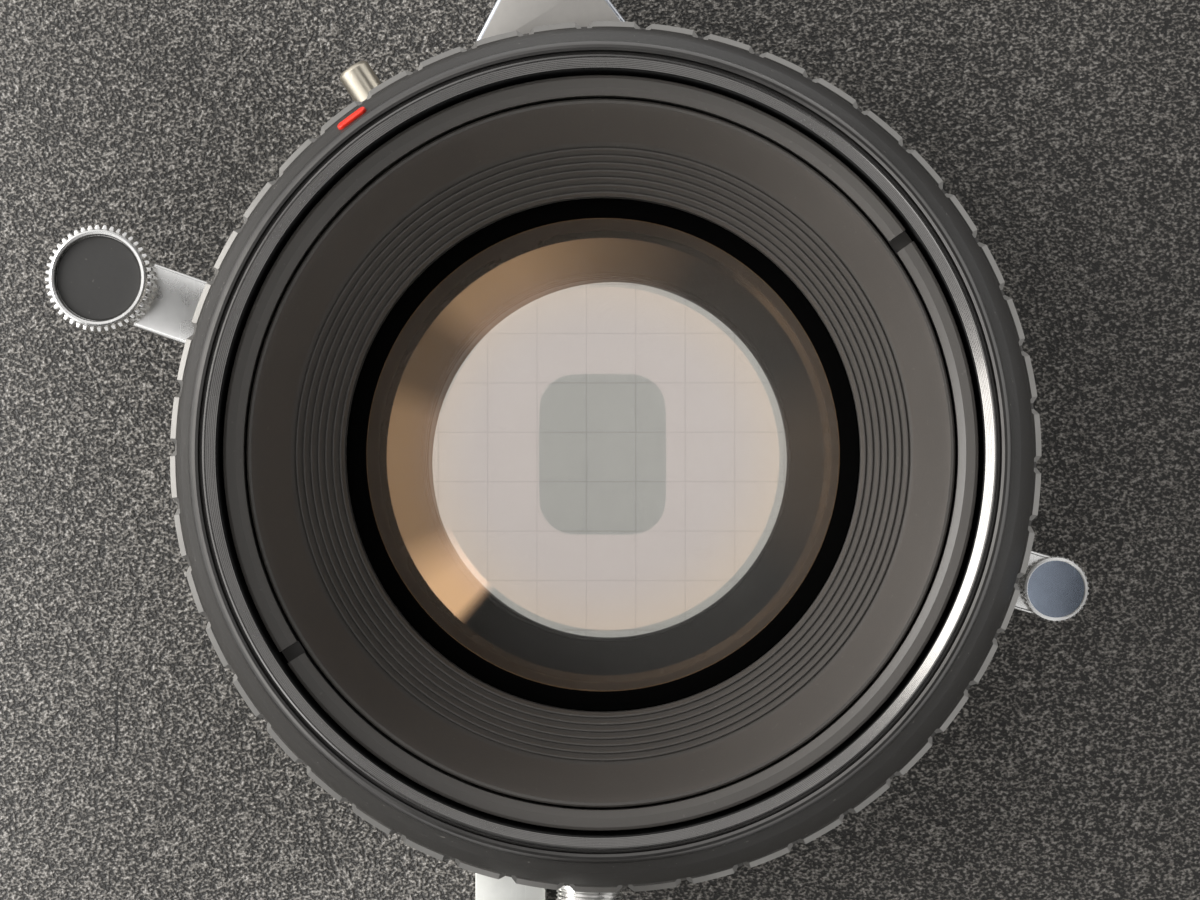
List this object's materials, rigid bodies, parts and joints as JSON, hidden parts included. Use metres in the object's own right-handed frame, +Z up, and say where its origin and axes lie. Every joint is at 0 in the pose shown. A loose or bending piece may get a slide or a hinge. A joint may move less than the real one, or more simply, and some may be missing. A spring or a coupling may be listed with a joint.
{
  "type": "view camera",
  "caption": "Large-format monorail view camera: a shuttered lens on a flat board, joined by pleated bellows to a ground-glass back, on a rail and tripod block.",
  "frame": {"origin": "centre of the underside of the tripod block", "axes": "+X to the right, the lens points along -Y, +Z up"},
  "size_m": [0.2526, 0.4506, 0.3059],
  "materials": {
    "black_aluminium": "satin black paint on aluminium",
    "black_anodised": "matte black anodising, fine turned surface",
    "crinkle_black": "black crinkle paint on aluminium sheet",
    "satin_aluminium": "satin anodised aluminium",
    "grey_aluminium": "satin grey metal",
    "pale_aluminium": "pale satin aluminium",
    "chrome": "polished chrome",
    "nickel": "worn nickel",
    "spring_steel": "spring steel",
    "blade_steel": "blackened thin steel",
    "knob_plastic": "black moulded plastic",
    "black_insert": "black disc",
    "coated_glass": "amber coated optical glass",
    "clear_glass": "optical glass",
    "ground_glass": "finely ground glass",
    "bellows_cloth": "black bellows cloth"
  },
  "bodies": {
    "base": {"tripod_block": "black_aluminium"},
    "rail": {"rail": "satin_aluminium", "rail_cap_front": "knob_plastic", "rail_cap_rear": "knob_plastic"},
    "rail_clamp_knob": {"rail_clamp_knob": "knob_plastic"},
    "front_carriage": {"front_carriage": "black_aluminium"},
    "front_focus_knob": {"front_focus_knob": "knob_plastic"},
    "front_turntable": {"front_turntable": "satin_aluminium"},
    "front_yoke": {"front_yoke": "black_aluminium"},
    "front_pivots": {"front_pivot_left": "satin_aluminium", "front_pivot_right": "satin_aluminium"},
    "front_tilt_knob_left": {"front_tilt_knob_left": "knob_plastic"},
    "front_tilt_knob_right": {"front_tilt_knob_right": "knob_plastic"},
    "front_frame": {"front_frame": "black_aluminium", "lens_board": "crinkle_black", "shutter_housing": "black_aluminium", "shutter_cover": "black_aluminium", "shutter_top_plate": "grey_aluminium", "sync_socket": "nickel", "cable_release_socket": "chrome", "front_barrel": "black_anodised", "front_baffle": "black_aluminium", "name_ring": "black_anodised", "front_glass": "coated_glass", "front_inner_glass": "clear_glass", "rear_barrel": "black_anodised", "rear_glass": "coated_glass", "retaining_ring": "black_aluminium"},
    "board_latch": {"board_latch": "spring_steel"},
    "speed_ring": {"speed_ring": "black_anodised"},
    "cocking_lever": {"cocking_lever": "chrome", "cocking_knob": "chrome", "cocking_knob_disc": "black_insert"},
    "release_lever": {"release_lever": "chrome", "release_knob": "chrome"},
    "aperture_ring": {"aperture_ring": "pale_aluminium"},
    "press_focus_slider": {"press_focus_slider": "chrome"},
    "rear_carriage": {"rear_carriage": "black_aluminium"},
    "rear_focus_knob": {"rear_focus_knob": "knob_plastic"},
    "rear_yoke": {"rear_turntable": "satin_aluminium", "rear_yoke": "black_aluminium"},
    "rear_tilt_knob_left": {"rear_tilt_knob_left": "knob_plastic"},
    "rear_tilt_knob_right": {"rear_tilt_knob_right": "knob_plastic"},
    "rear_frame": {"rear_frame": "black_aluminium", "bellows": "bellows_cloth", "bubble_level": "pale_aluminium"},
    "back_frame": {"back_frame": "black_aluminium", "ground_glass": "ground_glass"},
    "back_spring_left": {"back_spring_left": "spring_steel"},
    "back_spring_right": {"back_spring_right": "spring_steel"},
    "shutter_blade_1": {"shutter_blade_1": "blade_steel"},
    "shutter_blade_2": {"shutter_blade_2": "blade_steel"},
    "shutter_blade_3": {"shutter_blade_3": "blade_steel"},
    "shutter_blade_4": {"shutter_blade_4": "blade_steel"},
    "shutter_blade_5": {"shutter_blade_5": "blade_steel"},
    "iris_blade_1": {"iris_blade_1": "blade_steel"},
    "iris_blade_2": {"iris_blade_2": "blade_steel"},
    "iris_blade_3": {"iris_blade_3": "blade_steel"},
    "iris_blade_4": {"iris_blade_4": "blade_steel"},
    "iris_blade_5": {"iris_blade_5": "blade_steel"}
  },
  "joints": [
    {"name": "rail_slide", "type": "slide", "parent": "base", "child": "rail", "axis": [0, 1, 0], "range_m": [-0.04, 0.04]},
    {"name": "rail_clamp_turn", "type": "hinge", "parent": "base", "child": "rail_clamp_knob", "pos_m": [0.0343, 0, 0.01815], "axis": [1, 0, 0], "range_deg": [-120, 120]},
    {"name": "front_focus", "type": "slide", "parent": "rail", "child": "front_carriage", "axis": [0, 1, 0], "range_m": [-0.035, 0.035], "deforming": ["bellows"]},
    {"name": "front_focus_knob_turn", "type": "hinge", "parent": "front_carriage", "child": "front_focus_knob", "pos_m": [0.0363, -0.112, 0.0438], "axis": [1, 0, 0], "range_deg": [-340, 340]},
    {"name": "front_swing", "type": "hinge", "parent": "front_carriage", "child": "front_turntable", "pos_m": [0, -0.112, 0.0623], "axis": [0, 0, 1], "range_deg": [-15, 15], "deforming": ["bellows"]},
    {"name": "front_shift", "type": "slide", "parent": "front_turntable", "child": "front_yoke", "axis": [1, 0, 0], "range_m": [-0.02, 0.02], "deforming": ["bellows"]},
    {"name": "front_rise", "type": "slide", "parent": "front_yoke", "child": "front_pivots", "axis": [0, 0, 1], "range_m": [-0.02, 0.02], "deforming": ["bellows"]},
    {"name": "front_tilt", "type": "hinge", "parent": "front_pivots", "child": "front_frame", "pos_m": [0, -0.112, 0.2016], "axis": [1, 0, 0], "range_deg": [-15, 15], "deforming": ["bellows"]},
    {"name": "front_tilt_knob_left_turn", "type": "hinge", "parent": "front_pivots", "child": "front_tilt_knob_left", "pos_m": [-0.1193, -0.112, 0.2016], "axis": [1, 0, 0], "range_deg": [-120, 120]},
    {"name": "front_tilt_knob_right_turn", "type": "hinge", "parent": "front_pivots", "child": "front_tilt_knob_right", "pos_m": [0.1193, -0.112, 0.2016], "axis": [1, 0, 0], "range_deg": [-120, 120]},
    {"name": "board_latch_slide", "type": "slide", "parent": "front_frame", "child": "board_latch", "axis": [0, 0, 1], "range_m": [0, 0.006]},
    {"name": "speed_ring_turn", "type": "hinge", "parent": "front_frame", "child": "speed_ring", "pos_m": [0, -0.142, 0.2016], "axis": [0, -1, 0], "range_deg": [-70, 70]},
    {"name": "cocking_lever_swing", "type": "hinge", "parent": "front_frame", "child": "cocking_lever", "pos_m": [-0.03773, -0.1357, 0.21489], "axis": [0, 1, 0], "range_deg": [0, 35]},
    {"name": "release_lever_swing", "type": "hinge", "parent": "front_frame", "child": "release_lever", "pos_m": [0.03837, -0.1357, 0.19031], "axis": [0, 1, 0], "range_deg": [0, 15], "stiffness_Nm_per_rad": 0.02, "springref_deg": -17.19},
    {"name": "aperture_ring_turn", "type": "hinge", "parent": "front_frame", "child": "aperture_ring", "pos_m": [0, -0.1238, 0.2016], "axis": [0, 1, 0], "range_deg": [0, 40]},
    {"name": "iris_blade_1_swing", "type": "hinge", "parent": "front_frame", "child": "iris_blade_1", "pos_m": [0.038, -0.1255, 0.2016], "axis": [0, -1, 0], "range_deg": [0, 30.5]},
    {"name": "shutter_blade_1_swing", "type": "hinge", "parent": "front_frame", "child": "shutter_blade_1", "pos_m": [0.038, -0.129, 0.2016], "axis": [0, -1, 0], "range_deg": [0, 37]},
    {"name": "iris_blade_2_swing", "type": "hinge", "parent": "front_frame", "child": "iris_blade_2", "pos_m": [0.01174, -0.1262, 0.23774], "axis": [0, -1, 0], "range_deg": [0, 30.5]},
    {"name": "shutter_blade_2_swing", "type": "hinge", "parent": "front_frame", "child": "shutter_blade_2", "pos_m": [0.01174, -0.1297, 0.23774], "axis": [0, -1, 0], "range_deg": [0, 37.2]},
    {"name": "iris_blade_3_swing", "type": "hinge", "parent": "front_frame", "child": "iris_blade_3", "pos_m": [-0.03074, -0.1269, 0.22394], "axis": [0, -1, 0], "range_deg": [0, 30.5]},
    {"name": "shutter_blade_3_swing", "type": "hinge", "parent": "front_frame", "child": "shutter_blade_3", "pos_m": [-0.03074, -0.1304, 0.22394], "axis": [0, -1, 0], "range_deg": [0, 37.2]},
    {"name": "iris_blade_4_swing", "type": "hinge", "parent": "front_frame", "child": "iris_blade_4", "pos_m": [-0.03074, -0.1276, 0.17926], "axis": [0, -1, 0], "range_deg": [0, 30.5]},
    {"name": "shutter_blade_4_swing", "type": "hinge", "parent": "front_frame", "child": "shutter_blade_4", "pos_m": [-0.03074, -0.1311, 0.17926], "axis": [0, -1, 0], "range_deg": [0, 37.2]},
    {"name": "iris_blade_5_swing", "type": "hinge", "parent": "front_frame", "child": "iris_blade_5", "pos_m": [0.01174, -0.1283, 0.16546], "axis": [0, -1, 0], "range_deg": [0, 30.5]},
    {"name": "shutter_blade_5_swing", "type": "hinge", "parent": "front_frame", "child": "shutter_blade_5", "pos_m": [0.01174, -0.1318, 0.16546], "axis": [0, -1, 0], "range_deg": [0, 37.2]},
    {"name": "press_focus_slide", "type": "slide", "parent": "front_frame", "child": "press_focus_slider", "axis": [1, 0, 0], "range_m": [0, 0.0038]},
    {"name": "rear_focus", "type": "slide", "parent": "rail", "child": "rear_carriage", "axis": [0, 1, 0], "range_m": [-0.035, 0.035], "deforming": ["bellows"]},
    {"name": "rear_focus_knob_turn", "type": "hinge", "parent": "rear_carriage", "child": "rear_focus_knob", "pos_m": [0.0363, 0.163, 0.0438], "axis": [1, 0, 0], "range_deg": [-340, 340]},
    {"name": "rear_swing", "type": "hinge", "parent": "rear_carriage", "child": "rear_yoke", "pos_m": [0, 0.163, 0.0623], "axis": [0, 0, 1], "range_deg": [-15, 15], "deforming": ["bellows"]},
    {"name": "rear_tilt", "type": "hinge", "parent": "rear_yoke", "child": "rear_frame", "pos_m": [0, 0.163, 0.2016], "axis": [1, 0, 0], "range_deg": [-15, 15], "deforming": ["bellows"]},
    {"name": "rear_tilt_knob_left_turn", "type": "hinge", "parent": "rear_yoke", "child": "rear_tilt_knob_left", "pos_m": [-0.1193, 0.163, 0.2016], "axis": [1, 0, 0], "range_deg": [-120, 120]},
    {"name": "rear_tilt_knob_right_turn", "type": "hinge", "parent": "rear_yoke", "child": "rear_tilt_knob_right", "pos_m": [0.1193, 0.163, 0.2016], "axis": [1, 0, 0], "range_deg": [-120, 120]},
    {"name": "back_open", "type": "slide", "parent": "rear_frame", "child": "back_frame", "axis": [0, 1, 0], "range_m": [0, 0.012], "stiffness_N_per_m": 500, "springref_m": -0.01},
    {"name": "back_spring_left_bend", "type": "hinge", "parent": "rear_frame", "child": "back_spring_left", "pos_m": [-0.085, 0.1723, 0.2716], "axis": [1, 0, 0], "range_deg": [0, 7.5]},
    {"name": "back_spring_right_bend", "type": "hinge", "parent": "rear_frame", "child": "back_spring_right", "pos_m": [0.085, 0.1723, 0.2716], "axis": [1, 0, 0], "range_deg": [0, 7.5]}
  ],
  "couplings": [
    {"joint": "iris_blade_1_swing", "follows": "aperture_ring_turn", "ratio": 0.75},
    {"joint": "iris_blade_2_swing", "follows": "aperture_ring_turn", "ratio": 0.75},
    {"joint": "shutter_blade_2_swing", "follows": "shutter_blade_1_swing", "ratio": 1},
    {"joint": "iris_blade_3_swing", "follows": "aperture_ring_turn", "ratio": 0.75},
    {"joint": "shutter_blade_3_swing", "follows": "shutter_blade_1_swing", "ratio": 1},
    {"joint": "iris_blade_4_swing", "follows": "aperture_ring_turn", "ratio": 0.75},
    {"joint": "shutter_blade_4_swing", "follows": "shutter_blade_1_swing", "ratio": 1},
    {"joint": "iris_blade_5_swing", "follows": "aperture_ring_turn", "ratio": 0.75},
    {"joint": "shutter_blade_5_swing", "follows": "shutter_blade_1_swing", "ratio": 1},
    {"joint": "press_focus_slide", "follows": "shutter_blade_1_swing", "m_per_rad": 0.0058689},
    {"joint": "back_spring_left_bend", "follows": "back_open", "rad_per_m": 10.4},
    {"joint": "back_spring_right_bend", "follows": "back_open", "rad_per_m": 10.4},
    {"joint": "front_focus_knob_turn", "follows": "front_focus", "rad_per_m": 166.67},
    {"joint": "rear_focus_knob_turn", "follows": "rear_focus", "rad_per_m": 166.67}
  ]
}
